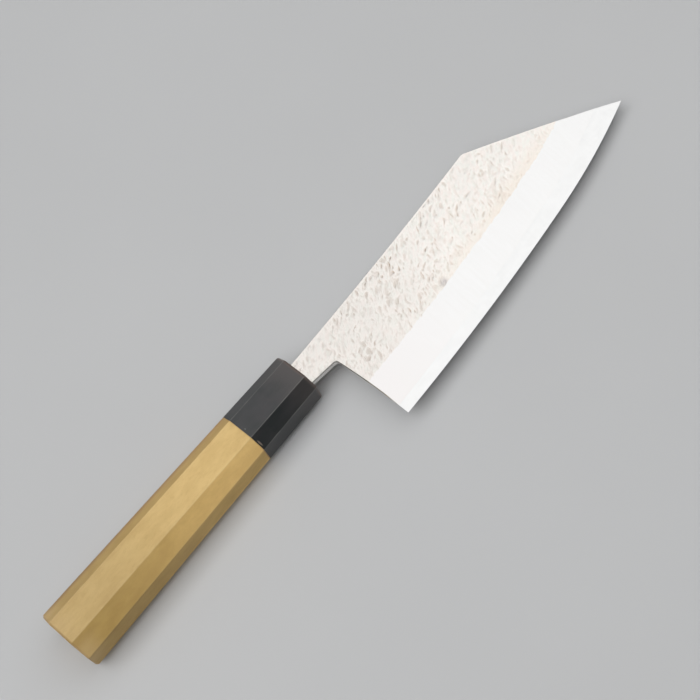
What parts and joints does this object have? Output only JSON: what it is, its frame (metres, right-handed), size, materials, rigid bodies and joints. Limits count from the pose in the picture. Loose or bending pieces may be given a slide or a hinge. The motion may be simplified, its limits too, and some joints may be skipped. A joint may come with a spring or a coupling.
{
  "type": "boning knife",
  "caption": "Boning knife with a short-necked laminated blade, wide ground bevels and a straight clipped point, on a tapered octagonal wooden handle with a dark ferrule.",
  "frame": {"origin": "centre of the handle's flat butt face", "axes": "+X along the handle to the blade's point, +Y from the cutting edge towards the spine, +Z out of the blade's left side, which faces up as the knife lies on its right side; the blade's middle plane is XY"},
  "size_m": [0.2963, 0.0567, 0.0218],
  "materials": {
    "hard_steel": "whetstone ground",
    "soft_steel": "hammered and polished flats over a finely ground bevel",
    "horn": "satin polished",
    "pale_wood": "fine sanded and waxed",
    "dowel_wood": "turned, unfinished",
    "resin": "matt"
  },
  "bodies": {
    "root": {"blade_core": "hard_steel", "cladding_left": "soft_steel", "cladding_right": "soft_steel", "ferrule": "horn", "handle_body": "pale_wood", "tang_dowel": "dowel_wood", "mouth_seal": "resin"}
  },
  "joints": []
}
